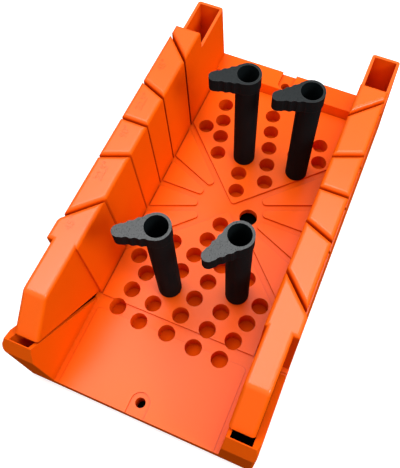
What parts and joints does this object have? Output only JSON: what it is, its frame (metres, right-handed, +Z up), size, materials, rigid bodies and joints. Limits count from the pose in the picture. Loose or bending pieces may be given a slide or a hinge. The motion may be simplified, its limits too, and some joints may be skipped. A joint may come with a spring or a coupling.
{
  "type": "miter box",
  "caption": "Open-ended miter box with slotted hollow walls, a floor of peg holes and turning cam pins that clamp the work.",
  "frame": {"origin": "middle of the footprint on the underside", "axes": "+X along the channel towards the far end with the ledge and pockets, +Y towards the left wall, +Z up"},
  "size_m": [0.35, 0.1962, 0.138],
  "materials": {
    "orange_plastic": "orange injection-moulded plastic, satin sheen",
    "black_plastic": "black injection-moulded plastic, satin sheen"
  },
  "bodies": {
    "box": {"miter_box_body": "orange_plastic"},
    "near_left_pin": {"cam_pin_near_left": "black_plastic"},
    "near_right_pin": {"cam_pin_near_right": "black_plastic"},
    "far_left_pin": {"cam_pin_far_left": "black_plastic"},
    "far_right_pin": {"cam_pin_far_right": "black_plastic"}
  },
  "joints": [
    {"name": "near_left_pin_turn", "type": "hinge", "parent": "box", "child": "near_left_pin", "pos_m": [-0.0698, 0.02054, 0.02], "axis": [0, 0, 1], "continuous": true},
    {"name": "near_right_pin_turn", "type": "hinge", "parent": "box", "child": "near_right_pin", "pos_m": [-0.0548, -0.03464, 0.02], "axis": [0, 0, 1], "continuous": true},
    {"name": "far_left_pin_turn", "type": "hinge", "parent": "box", "child": "far_left_pin", "pos_m": [0.0742, 0.01118, 0.02], "axis": [0, 0, 1], "range_deg": [-170, 120]},
    {"name": "far_right_pin_turn", "type": "hinge", "parent": "box", "child": "far_right_pin", "pos_m": [0.077, -0.03932, 0.02], "axis": [0, 0, 1], "continuous": true}
  ]
}
